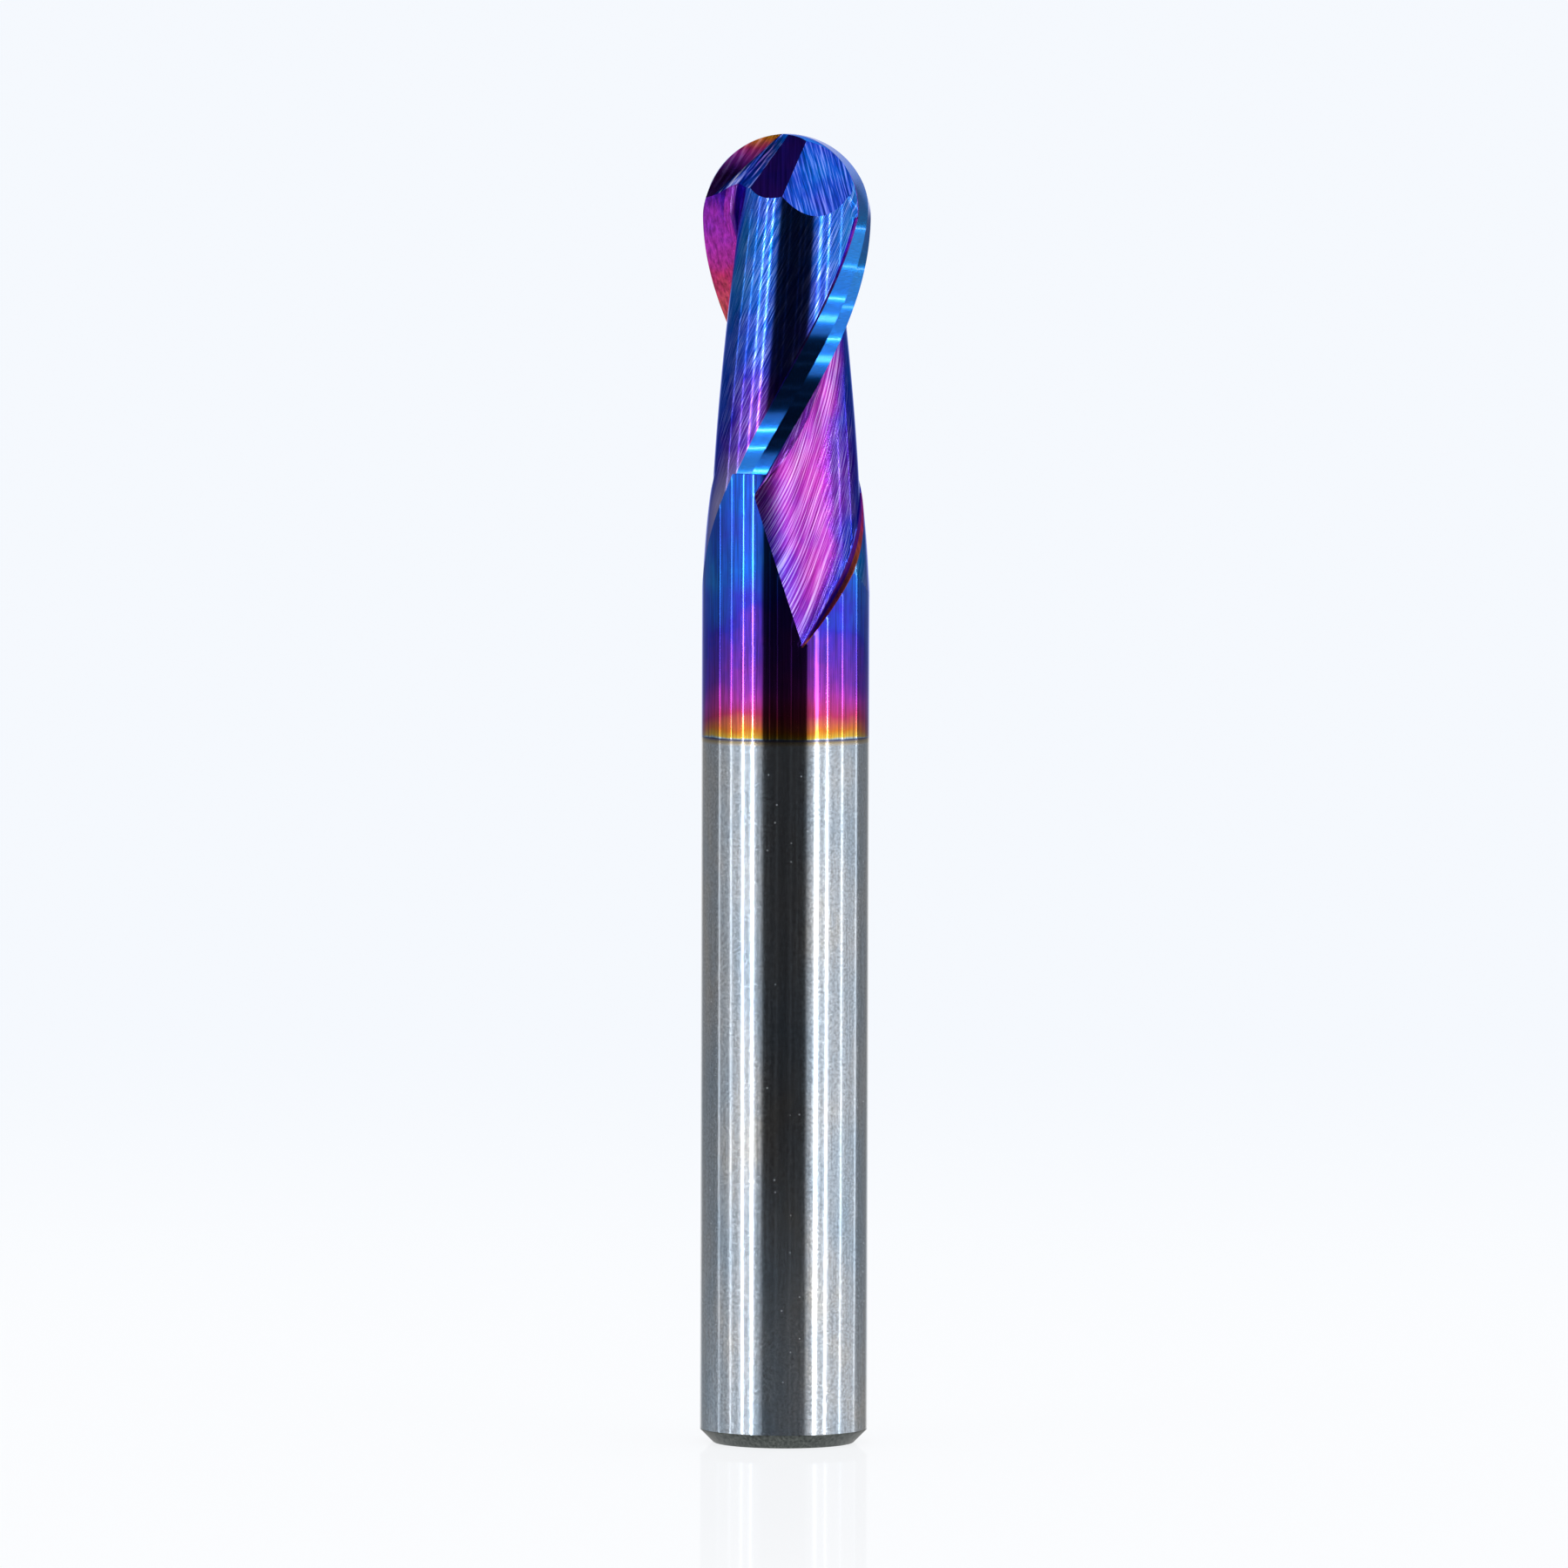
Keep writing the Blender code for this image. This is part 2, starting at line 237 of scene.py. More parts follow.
filmGroup = makeFilmGroup()
grindGroup = makeGrindGroup()
speckGroup = makeSpeckGroup()


def filmColour(tree, place, thickness, mottle):
    inputs = {"Thickness": thickness, "Mottle": mottle, "Vector": place}
    return useGroup(tree, filmGroup, inputs)["Color"]


def grindLines(tree, vector, scales):
    inputs = {"Vector": vector, "Across": scales[0], "Along": scales[1]}
    return useGroup(tree, grindGroup, inputs)["Lines"]


def newMetal(name, coat=0.0, edge=(1.0, 1.0, 1.0)):
    metal = bpy.data.materials.new(name)
    metal.use_nodes = True
    tree = metal.node_tree
    shader = tree.nodes["Principled BSDF"].inputs
    fixed = {"Metallic": 1.0, "Specular Tint": (*edge, 1.0), "Coat Weight": coat, "Coat Roughness": 0.05}
    for socket, value in fixed.items():
        shader[socket].default_value = value
    return metal, tree, shader


def bumpInto(tree, shader, height, depth):
    made = addNode(tree, "Bump", {"Height": height, "Strength": 1.0, "Distance": depth})
    feed(tree, shader["Normal"], made.outputs[0])


# shank

shank = {
    "radius": 4.0 * mm, "length": 33.8 * mm, "chamfer": 0.65 * mm, "edge": 0.03 * mm, "sides": 256,
    "sharpAngle": 20.0, "ringGap": 0.02 * mm,
    # ground surface, cool to warm in soft clouds
    "grain": 8000.0, "lines": (9000, 9000, 200), "clouds": (320, 320, 130),
    "tones": [(0.32, (0.40, 0.50, 0.61)), (0.46, (0.47, 0.54, 0.62)), (0.58, (0.52, 0.56, 0.61)),
              (0.70, (0.58, 0.58, 0.57))],
    "grainShare": 0.8, "lineShare": 0.4, "rub": ((0.45, 0.74), (0.75, 1.16)),
    "roughness": ((0.35, 0.12), (0.65, 0.15)), "bump": 0.00015 * mm,
    "speckScale": 2600.0, "speckSize": 0.07, "speckRoughness": 0.3, "speckHeight": 6.0,
    # a trace of the coating at the upper end, and metal dulled by handling towards the lower end
    "trace": 0.30 * mm, "traceFilm": 0.12, "metallic": ((1.0 * mm, 0.88), (16.0 * mm, 0.985)),
    # ground chamfer; its grind lines are its own, its dark tones are painted shade for the shadowed floor it
    # reflects
    "chamferRoughness": 0.42, "chamferLines": (7000, 7000, 500), "chamferBump": 0.006 * mm,
    "chamferShadeTones": [(0.3, (0.035, 0.04, 0.037)), (0.7, (0.14, 0.15, 0.135))],
}


def makeShank():
    startPiece()
    bpy.ops.mesh.primitive_cylinder_add(vertices=shank["sides"], radius=shank["radius"],
                                        depth=shank["length"], location=(0, 0, shank["length"] / 2))
    piece = nameAndPlace("shankRod")
    pickEdges(piece, lambda heights: max(heights) < shank["chamfer"] / 2)
    bpy.ops.mesh.bevel(offset=shank["chamfer"], offset_type="OFFSET", segments=1)
    bpy.ops.object.mode_set(mode="OBJECT")

    def onRing(heights):
        rings = (0.0, shank["chamfer"])
        return any(all(abs(z - ring) < shank["ringGap"] for z in heights) for ring in rings)
    pickEdges(piece, onRing)
    bpy.ops.mesh.bevel(offset=shank["edge"], offset_type="OFFSET", segments=2)
    bpy.ops.object.mode_set(mode="OBJECT")
    piece.data.materials.append(bareCarbide())
    piece.data.materials.append(shadedGroundChamfer())
    for face in piece.data.polygons:
        face.material_index = 1 if -0.98 < face.normal.z < -0.1 else 0      # sloping faces
    bpy.ops.object.shade_smooth_by_angle(angle=math.radians(shank["sharpAngle"]))
    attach(piece, "root")
    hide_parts("shank")
    print("shank:", len(piece.data.polygons), "faces")


def bareCarbide():
    metal, tree, shader = newMetal("bareCarbide")
    place = objectCoords(tree)
    grain = noise(tree, place, shank["grain"], 3.0, 0.7)
    lines = noise(tree, stretch(tree, place, shank["lines"]), 1.0, 3.0, 0.6)
    cloud = noise(tree, stretch(tree, place, shank["clouds"]), 1.0, 4.0, 0.6)
    rub = calc(tree, "ADD", calc(tree, "MULTIPLY", grain, shank["grainShare"]),
               calc(tree, "MULTIPLY", lines, shank["lineShare"]))
    tone = tint(tree, colourRamp(tree, cloud, shank["tones"]), mapped(tree, rub, *shank["rub"]))
    below = heightAbove(tree, place, shank["length"])
    thickness = mapped(tree, below, (-shank["trace"], 0.0), (0.0, shank["traceFilm"]))
    traced = calc(tree, "GREATER_THAN", below, -shank["trace"])
    tone = blendColour(tree, traced, tone, filmColour(tree, place, thickness, 0.0))
    feed(tree, shader["Base Color"], tone)
    dots = {"Vector": place, "Scale": shank["speckScale"], "Size": shank["speckSize"]}
    specks = useGroup(tree, speckGroup, dots)["Mask"]
    smooth = mapped(tree, grain, *shank["roughness"])
    feed(tree, shader["Roughness"], calc(tree, "MULTIPLY_ADD", specks, shank["speckRoughness"], smooth))
    up = heightAbove(tree, place, 0.0)
    feed(tree, shader["Metallic"], mapped(tree, up, *shank["metallic"], smooth=True))
    height = calc(tree, "MULTIPLY_ADD", specks, shank["speckHeight"], lines)
    bumpInto(tree, shader, height, shank["bump"])
    return metal


def shadedGroundChamfer():
    metal, tree, shader = newMetal("shadedGroundChamfer")
    lines = noise(tree, stretch(tree, objectCoords(tree), shank["chamferLines"]), 1.0, 3.0, 0.7)
    # painted shade: the chamfer's colour is painted dark for the floor's shadow it would reflect
    feed(tree, shader["Base Color"], colourRamp(tree, lines, shank["chamferShadeTones"]))
    feed(tree, shader["Roughness"], shank["chamferRoughness"])
    bumpInto(tree, shader, lines, shank["chamferBump"])
    return metal


# fluted head: one grid wrapped into the tool's sections, then cut by the gashes and heel flats

head = {
    "radius": 4.0 * mm, "ballCentre": 58.5 * mm, "teeth": 2,
    # depths below the ball's centre
    "landEnd": 12.1 * mm, "rakeEnd": 13.1 * mm, "backEnd": 16.8 * mm, "heelEnd": 18.2 * mm,
    "fluteEnd": 20.3 * mm, "coatEnd": 24.7 * mm, "landStep": 0.03 * mm,
    # teeth
    "helix": math.radians(30.5), "edgeStart": math.radians(-1.8), "rake": math.radians(8.0),
    "rootFillet": 0.80 * mm, "ballFillet": 1.50 * mm, "filletBlend": 1.0 * mm, "filletShare": 0.6,
    "primary": 0.77 * mm, "primarySlope": math.radians(5.0),
    "secondary": 0.98 * mm, "secondarySlope": math.radians(8.5),
    "heelStep": 0.12 * mm, "heelJoin": 1.2, "ballRelief": 0.25, "ballTwist": 1.6 * mm,
    # flutes
    "core": 2.0 * mm, "backCurve": 1.75, "backReach": math.radians(70.0), "floorOnBall": 0.98,
    "runoutSlope": math.radians(20.0), "runoutAngle": math.radians(85.0), "blend": 0.6 * mm,
    "wallStart": math.radians(57.0), "wallRound": math.radians(1.5), "wallReach": 1.8, "wallCurve": 1.5,
    # columns of one tooth, and rows
    "columns": {"primary": 8, "secondary": 10, "heel": 3, "back": 24, "wall": 14, "floor": 40, "root": 12,
                "rake": 14},
    "wallFace": 6, "rootRim": 3,      # columns with a finish of their own
    "neckRows": 6, "runoutRows": 90, "landRows": 110, "ballRows": 56,
    "onRod": 0.002 * mm, "mergeGap": 0.0005 * mm, "sharpAngle": 10.0,
}
pitch = 2 * math.pi / head["teeth"]
heelStart = (head["primary"] + head["secondary"]) / head["radius"]
primaryDrop = head["primary"] * math.tan(head["primarySlope"])
heelDrop = primaryDrop + head["secondary"] * math.tan(head["secondarySlope"])
thinStep = 0.01 * mm
thinAngle = math.radians(0.5)


def edgeDirection(depth):
    along = min(max(depth, -head["ballTwist"]), head["fluteEnd"])
    return head["edgeStart"] - math.tan(head["helix"]) / head["radius"] * along


def heelAngle(depth):
    # on the ball the heel stays over its place at the ball's centre
    return heelStart + max(edgeDirection(depth) - head["edgeStart"], 0.0)


def rodRadius(depth):
    return head["radius"] if depth >= 0 else math.sqrt(max(head["radius"] ** 2 - depth ** 2, 0.0))


def reliefShare(depth):
    onBall = ramp(-depth, 0.0, head["ballTwist"])
    return rodRadius(depth) / head["radius"] * between(1.0, head["ballRelief"], onBall)


def wallAngle(depth):
    down = ramp(depth, head["landEnd"], head["fluteEnd"])
    return between(head["wallStart"], head["runoutAngle"], down)


def floorRadius(angle, depth):
    # a tooth's back sinks from its heel to the core; below the lands it rises to the rod on the near
    # side of the run-out's wall, and the flute's floor climbs out on the far side
    sink = ramp(angle, heelStart, pitch) ** head["backCurve"]
    back = between(head["radius"] - heelDrop - head["heelStep"], head["core"], sink)
    backEnd = between(head["heelEnd"], head["backEnd"], ramp(angle, heelStart, head["backReach"]))
    raised = between(back, head["radius"], ramp(depth, head["landEnd"], backEnd))
    share = (pitch - angle) / (pitch - head["runoutAngle"])
    toEdge = between(head["rakeEnd"], head["fluteEnd"], share) - depth
    climb = head["radius"] - math.tan(head["runoutSlope"]) * toEdge
    overlap = max(head["blend"] - abs(climb - back), 0.0)
    floor = min(max(back, climb) + overlap ** 2 / (4 * head["blend"]), head["radius"])
    past = max(angle - wallAngle(depth), 0.0) / head["wallRound"]
    radius = between(floor, max(raised, floor), math.exp(-past ** head["wallCurve"]))
    return min(radius, head["floorOnBall"] * rodRadius(depth) if depth < 0 else head["radius"])


def toothSection(depth, relieved):
    # one tooth's share of a section: angle behind the cutting edge, radius, and distance up the rake side
    count = head["columns"]
    rod = rodRadius(depth)
    share = reliefShare(depth) if relieved else 0.0
    landAngle = head["primary"] / head["radius"]
    heelEnd = heelAngle(depth)
    lead = heelEnd - heelStart
    landRadius = rod - primaryDrop * share
    heelRadius = rod - heelDrop * share
    footAngle = heelEnd + thinAngle
    thin = min(thinStep, heelRadius / 10)
    foot = heelRadius - thin if depth < 0 else min(floorRadius(footAngle, depth), heelRadius)
    wallFrom = wallAngle(depth)
    wallTo = wallFrom + head["wallReach"] * head["wallRound"]
    points = []

    def straight(name, first, last):
        # lands are ground flat across; below them the rod is round
        ends = [Vector((radius * math.cos(angle), radius * math.sin(angle)))
                for angle, radius in (first, last)]
        for i in range(count[name]):
            point = ends[0].lerp(ends[1], i / count[name])
            angle = between(first[0], last[0], i / count[name])
            flat = (math.atan2(point.y, point.x), point.length, 0.0)
            points.append(flat if relieved else (angle, rod, 0.0))

    def onFloor(name, first, last):
        for i in range(count[name]):
            angle = between(first, last, i / count[name])
            radius = min(floorRadius(angle, depth), heelRadius)
            if depth < 0:      # the ball's heel overhangs the floor, and a slope joins them
                joined = ramp(angle, footAngle, footAngle + head["heelJoin"] * lead + thinAngle)
                radius = between(heelRadius - thin, radius, joined)
            points.append((angle, radius, 0.0))
    straight("primary", (0.0, rod), (landAngle, landRadius))
    straight("secondary", (landAngle, landRadius), (heelEnd, heelRadius))
    straight("heel", (heelEnd, heelRadius), (footAngle, foot))
    onFloor("back", footAngle, wallFrom)
    onFloor("wall", wallFrom, wallTo)

    def rakeAngle(radius):
        return pitch + (rod - radius) * math.tan(head["rake"]) / max(radius, thinStep)
    if depth < head["rakeEnd"]:
        root = min(floorRadius(pitch, depth), rod * head["floorOnBall"])
        onBall = ramp(depth, head["filletBlend"], -head["filletBlend"])
        fillet = between(head["rootFillet"], head["ballFillet"], onBall)
        fillet = min(fillet, head["filletShare"] * (rod - root))
        start = pitch - fillet / max(root, thinStep)
        top = root + fillet
        bend = ((start, floorRadius(start, depth)), (rakeAngle(root), root), (rakeAngle(top), top))
    else:      # below the rake face the same columns lie on the rod
        down = ramp(depth, head["rakeEnd"], head["fluteEnd"])
        start = between(pitch, head["runoutAngle"], down)
        start = max(min(start, pitch - thinAngle), wallTo + thinAngle)
        root = top = rod
        bend = ((start, rod), (between(start, pitch, 0.25), rod), (between(start, pitch, 0.5), rod))
    onFloor("floor", wallTo, start)
    for i in range(count["root"]):
        t = i / count["root"]
        mixed = [a * (1 - t) ** 2 + 2 * b * t * (1 - t) + c * t ** 2 for a, b, c in zip(*bend)]
        points.append((mixed[0], mixed[1], max(mixed[1] - root, 0.0)))
    for i in range(count["rake"] + 1):
        t = i / count["rake"]
        radius = between(top, rod, t)
        angle = rakeAngle(radius) if depth < head["rakeEnd"] else between(bend[2][0], pitch, t)
        points.append((angle, radius, max(radius - root, 0.0)))
    return points


def headRows():
    # depth of each row from the shank up, and whether its lands are relieved
    def spread(first, last, count):
        return [between(first, last, i / count) for i in range(count)]
    rows = [(depth, False) for depth in spread(head["coatEnd"], head["fluteEnd"], head["neckRows"])]
    rows += [(depth, False) for depth in spread(head["fluteEnd"], head["landEnd"], head["runoutRows"])]
    rows.append((head["landEnd"], False))
    first = head["landEnd"] - head["landStep"]
    rows += [(depth, True) for depth in spread(first, 0.0, head["landRows"])]
    for i in range(head["ballRows"] + 1):
        rows.append((-head["radius"] * math.sin(math.pi / 2 * i / head["ballRows"]), True))
    return rows


def makeHead():
    rows = [(depth, toothSection(depth, relieved)) for depth, relieved in headRows()]
    perTooth = sum(head["columns"].values())
    columns = perTooth * head["teeth"]
    startPiece()
    bpy.ops.mesh.primitive_grid_add(x_subdivisions=columns, y_subdivisions=len(rows) - 1,
                                    size=2 * head["radius"])
    piece = nameAndPlace("flutedHead")
    mesh = piece.data
    turn = 2 * math.pi * head["radius"]

    def sectionPoint(index, onNext=False):
        # grid vertices run along x first; the last column closes on the first
        row, column = divmod(index, columns + 1)
        depth, section = rows[row]
        tooth, place = divmod(column, perTooth)
        if onNext and place == 0:
            tooth, place = tooth - 1, perTooth
        angle, radius, climb = section[place]
        return depth, angle + tooth * pitch, radius, climb

    for vert in mesh.vertices:
        depth, angle, radius, climb = sectionPoint(vert.index)
        direction = edgeDirection(depth) - angle
        vert.co = (radius * math.cos(direction), radius * math.sin(direction), head["ballCentre"] - depth)

    zones = []
    for name, count in head["columns"].items():
        zones += [name] * count
    finishes = ["neckFilm", "landFilm", "fluteFilm", "rakeFilm", "rootFilm", "wallFilm", "wallFootFilm"]
    for name in finishes:
        mesh.materials.append(fluteFilm() if name == "fluteFilm" else coatedMetal(name))
    uvs = mesh.uv_layers.active.data
    for face in mesh.polygons:
        column = min(face.vertices) % (columns + 1)
        place = column % perTooth
        zone = zones[place]
        corners = [sectionPoint(v, onNext=(v % (columns + 1)) == column + 1) for v in face.vertices]
        for loop, (depth, angle, radius, climb) in zip(face.loop_indices, corners):
            uvs[loop].uv = ((angle * head["radius"] + climb) / turn, depth / turn)
        depth = sum(corner[0] for corner in corners) / 4
        onRod = all(corner[2] > head["radius"] - head["onRod"] for corner in corners)
        if depth > head["landEnd"] - head["landStep"] and onRod:
            finish = "neckFilm"
        elif zone in ("primary", "secondary"):
            finish = "landFilm"
        elif zone == "root" and depth < head["rakeEnd"] and zones[place + head["rootRim"]] == "root":
            finish = "rootFilm"
        elif zone in ("heel", "root", "rake") and depth < head["rakeEnd"]:
            finish = "rakeFilm"
        elif zone == "wall" and depth > head["rakeEnd"]:
            finish = "wallFilm" if zones[place - head["wallFace"]] == "back" else "wallFootFilm"
        else:
            finish = "fluteFilm"
        face.material_index = finishes.index(finish)

    bpy.ops.object.mode_set(mode="EDIT")
    bpy.ops.mesh.select_all(action="SELECT")
    bpy.ops.mesh.remove_doubles(threshold=head["mergeGap"])
    bpy.ops.mesh.select_all(action="DESELECT")
    bpy.ops.mesh.select_non_manifold()
    bpy.ops.mesh.edge_face_add()
    bpy.ops.mesh.select_all(action="SELECT")
    bpy.ops.mesh.normals_make_consistent(inside=False)
    bpy.ops.object.mode_set(mode="OBJECT")
    print("head wrapped:", len(mesh.polygons), "faces")

    for cutter in (cutGash(), cutFlat()):
        for tooth in range(head["teeth"]):
            pickOnly(cutter)
            bpy.ops.object.duplicate()
            copy = bpy.context.object
            copy.data.transform(Matrix.Rotation(pitch * tooth, 4, "Z"))
            pickOnly(piece)
            cut = piece.modifiers.new("cut", "BOOLEAN")
            cut.object = copy
            cut.operation = "DIFFERENCE"
            cut.solver = "EXACT"
            cut.material_mode = "TRANSFER"
            bpy.ops.object.modifier_apply(modifier=cut.name)
            bpy.data.objects.remove(copy)
        bpy.data.objects.remove(cutter)
    pickOnly(piece)
    bpy.ops.object.shade_smooth_by_angle(angle=math.radians(head["sharpAngle"]))
    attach(piece, "root")
    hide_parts("neck", "web", "tooth_1", "tooth_2", "ball_nose")
    print("head cut:", len(piece.data.polygons), "faces")


# gash in front of a tooth's edge on the ball: its rake face, a rounded valley, a steep wall and the
# slope behind that wall; places are across, towards the viewer and up, in ball radii

gash = {"valley": ((-0.050, 0.0245, 0.9886), (-0.660, 0.0794, 0.356)),
        "brink": ((0.0155, 0.131, 0.9886), (-0.441, 0.508, 0.356)),
        "rakeLine": Vector((-1.0, 0.09)), "slopeLine": Vector((1.0, 0.523)),
        "round": 0.25, "roundSteps": 8, "top": 1.1, "bottom": -0.4, "reach": 3.0,
        "parallel": 0.02, "steep": 0.1}


def cutGash():
    def lineAt(line, level):
        high, low = (Vector(end) for end in line)
        return high.lerp(low, (high.z - level) / (high.z - low.z)).to_2d()

    def outline(level):
        # one level section of the cutter, from the rake face round to the open side
        valley, brink = lineAt(gash["valley"], level), lineAt(gash["brink"], level)
        size = (brink - valley).length * gash["round"]
        first = valley + gash["rakeLine"].normalized() * size
        last = valley + (brink - valley) * gash["round"]
        bend = []
        for i in range(gash["roundSteps"] + 1):
            t = i / gash["roundSteps"]
            bend.append(first * (1 - t) ** 2 + valley * 2 * t * (1 - t) + last * t ** 2)
        rakeFar = valley + gash["rakeLine"] * gash["reach"]
        slopeFar = brink + gash["slopeLine"] * gash["reach"]
        front = 2 * gash["reach"]
        return [rakeFar, *bend, brink, slopeFar, Vector((slopeFar.x, front)), Vector((rakeFar.x, front))]

    levels = {True: outline(gash["top"]), False: outline(gash["bottom"])}
    startPiece()
    bpy.ops.mesh.primitive_cylinder_add(vertices=len(levels[True]), radius=1.0, depth=2.0,
                                        end_fill_type="NGON")
    piece = nameAndPlace("gashCutter")
    scale = head["radius"]
    for vert in piece.data.vertices:
        onTop = vert.co.z > 0      # the primitive's vertices run in pairs, one below and one above
        place = levels[onTop][vert.index // 2]
        level = gash["top"] if onTop else gash["bottom"]
        vert.co = (place.x * scale, -place.y * scale, head["ballCentre"] + level * scale)
    bpy.ops.object.mode_set(mode="EDIT")
    bpy.ops.mesh.select_all(action="SELECT")
    bpy.ops.mesh.normals_make_consistent(inside=False)
    bpy.ops.object.mode_set(mode="OBJECT")
    for name in ("gashRakeFilm", "gashValleyFilm", "gashSlopeFilm"):
        piece.data.materials.append(coatedMetal(name))
    for face in piece.data.polygons:
        across = Vector((face.normal.x, -face.normal.y))
        onRake = abs(across.dot(gash["rakeLine"])) < gash["parallel"]
        face.material_index = 1
        if onRake and abs(face.normal.z) < gash["steep"]:
            face.material_index = 0
        elif abs(across.dot(gash["slopeLine"])) < gash["parallel"]:
            face.material_index = 2
    return piece


# flat behind a tooth's land on the ball

heelFlat = {"offset": 3.10 * mm, "tilt": math.radians(29.8), "turn": math.radians(18.0), "size": 16.0 * mm}


def cutFlat():
    startPiece()
    bpy.ops.mesh.primitive_cube_add(size=heelFlat["size"])
    place = Matrix.Translation((0, 0, head["ballCentre"]))
    turn = Matrix.Rotation(heelFlat["turn"], 4, "Z")
    tilt = Matrix.Rotation(-heelFlat["tilt"], 4, "X")
    out = Matrix.Translation((0, -heelFlat["offset"] - heelFlat["size"] / 2, 0))
    bpy.context.object.data.transform(place @ turn @ tilt @ out)
    piece = nameAndPlace("flatCutter")
    piece.data.materials.append(coatedMetal("flatFilm"))
    return piece


# finishes of the coated regions: thickness of the film by place

neck = {"quick": (0.32, 0.12), "slow": (0.042, 0.53), "full": 0.84}


def depthBelow(tree, place):
    # millimetres below the ball's centre
    return calc(tree, "DIVIDE", heightAbove(tree, place, head["ballCentre"]), -mm)


def neckThickness(tree, place):
    # thin at its lower border, where it runs through the colours quickly, then slowly to blue
    above = calc(tree, "DIVIDE", heightAbove(tree, place, shank["length"]), mm)
    above = calc(tree, "MAXIMUM", above, 0.0)
    quick = calc(tree, "MULTIPLY_ADD", calc(tree, "SQRT", above), *neck["quick"])
    slow = calc(tree, "MULTIPLY_ADD", above, *neck["slow"])
    return calc(tree, "MINIMUM", calc(tree, "MINIMUM", quick, slow), neck["full"])


def rakeThickness(tree, place):
    # violet beside the gash, orange at the lowest point seen, magenta deeper in the flute
    depth = depthBelow(tree, place)
    upper = mapped(tree, depth, (-0.6, 0.63), (5.0, 0.38))
    return calc(tree, "ADD", upper, mapped(tree, depth, (5.0, 0.0), (8.5, 0.24)))


def wallThickness(tree, place):
    return mapped(tree, depthBelow(tree, place), (13.6, 0.52), (16.0, 0.36))


def gashRakeThickness(tree, place):
    # orange at the tip
    depth = depthBelow(tree, place)
    upper = mapped(tree, depth, (-3.9, 0.28), (-3.2, 0.52))
    return calc(tree, "ADD", upper, mapped(tree, depth, (-3.2, 0.0), (-1.6, 0.2)))


def gashRakeRoughness(tree, place):
    # duller towards the tip, where it picks up more of the light around
    return mapped(tree, depthBelow(tree, place), (-3.7, 0.60), (-2.0, 0.20))


# lines are counts across and along them; a finish with a turn, in degrees, has its lines in the front plane
# and not in the mesh's own map

coats = {
    "neckFilm": {"thickness": neckThickness, "roughness": 0.055, "mottle": 0.26, "lines": (9000.0, 300.0),
                 "turn": 0.0, "round": True, "bump": 0.0002 * mm, "shade": (0.6, 1.35), "coat": 0.4},
    "landFilm": {"thickness": 0.92, "roughness": 0.13, "mottle": 0.06, "lines": (60.0, 1500.0),
                 "bump": 0.0003 * mm, "shade": (0.65, 1.05), "coat": 0.5},
    "rakeFilm": {"thickness": rakeThickness, "roughness": 0.24, "mottle": 0.24, "lines": (200.0, 50.0),
                 "bump": 0.004 * mm, "shade": (0.4, 1.0)},
    "rootFilm": {"thickness": 0.64, "roughness": 0.2, "mottle": 0.1, "lines": (260.0, 12.0),
                 "bump": 0.002 * mm, "shade": (0.2, 0.7), "glint": 0.3},
    "wallFilm": {"thickness": wallThickness, "roughness": 0.25, "mottle": 0.06, "lines": (320.0, 14.0),
                 "bump": 0.001 * mm, "shade": (0.25, 0.5)},
    "wallFootFilm": {"thickness": 0.64, "roughness": 0.25, "mottle": 0.06, "lines": (320.0, 14.0),
                     "bump": 0.001 * mm, "shade": (0.2, 0.35)},
    "gashRakeFilm": {"thickness": gashRakeThickness, "roughness": gashRakeRoughness, "mottle": 0.3,
                     "lines": (6000.0, 400.0), "turn": 35.0, "bump": 0.004 * mm, "shade": (0.4, 1.7),
                     "glint": 0.3},
    "gashValleyFilm": {"thickness": 0.82, "roughness": 0.4, "mottle": 0.2, "lines": (11000.0, 500.0),
                       "turn": 40.0, "bump": 0.012 * mm, "shade": (0.02, 1.0), "glint": 1.0},
    # painted shade: a low shade pair paints the gash's slope nearly black
    "gashSlopeFilm": {"thickness": 0.71, "roughness": 0.16, "mottle": 0.16, "lines": (6000.0, 300.0),
                      "turn": 0.0, "bump": 0.0005 * mm, "shade": (0.05, 0.12)},
    "flatFilm": {"thickness": 0.82, "roughness": 0.22, "mottle": 0.32, "lines": (9500.0, 400.0),
                 "turn": -15.0, "bump": 0.004 * mm, "shade": (0.25, 1.3), "glint": 0.35},
}


def ownMap(tree):
    return addNode(tree, "UVMap", uv_map="UVMap").outputs[0]


def frontPlane(tree, place, turn, isRound):
    # across and up, for a face seen from the front; a round face takes its depth as well
    axes = addNode(tree, "SeparateXYZ", {0: place}).outputs
    deep = axes[1] if isRound else 0.0
    plane = addNode(tree, "CombineXYZ", {0: axes[0], 1: axes[2], 2: deep}).outputs[0]
    return stretch(tree, plane, (1, 1, 1), math.radians(turn)) if turn else plane


def slanted(tree, amount, slant):
    # a film looks thicker, and bluer, at a slant
    facing = addNode(tree, "LayerWeight", {"Blend": 0.5}).outputs["Facing"]
    return calc(tree, "MULTIPLY", amount, calc(tree, "MULTIPLY_ADD", facing, slant, 1.0))


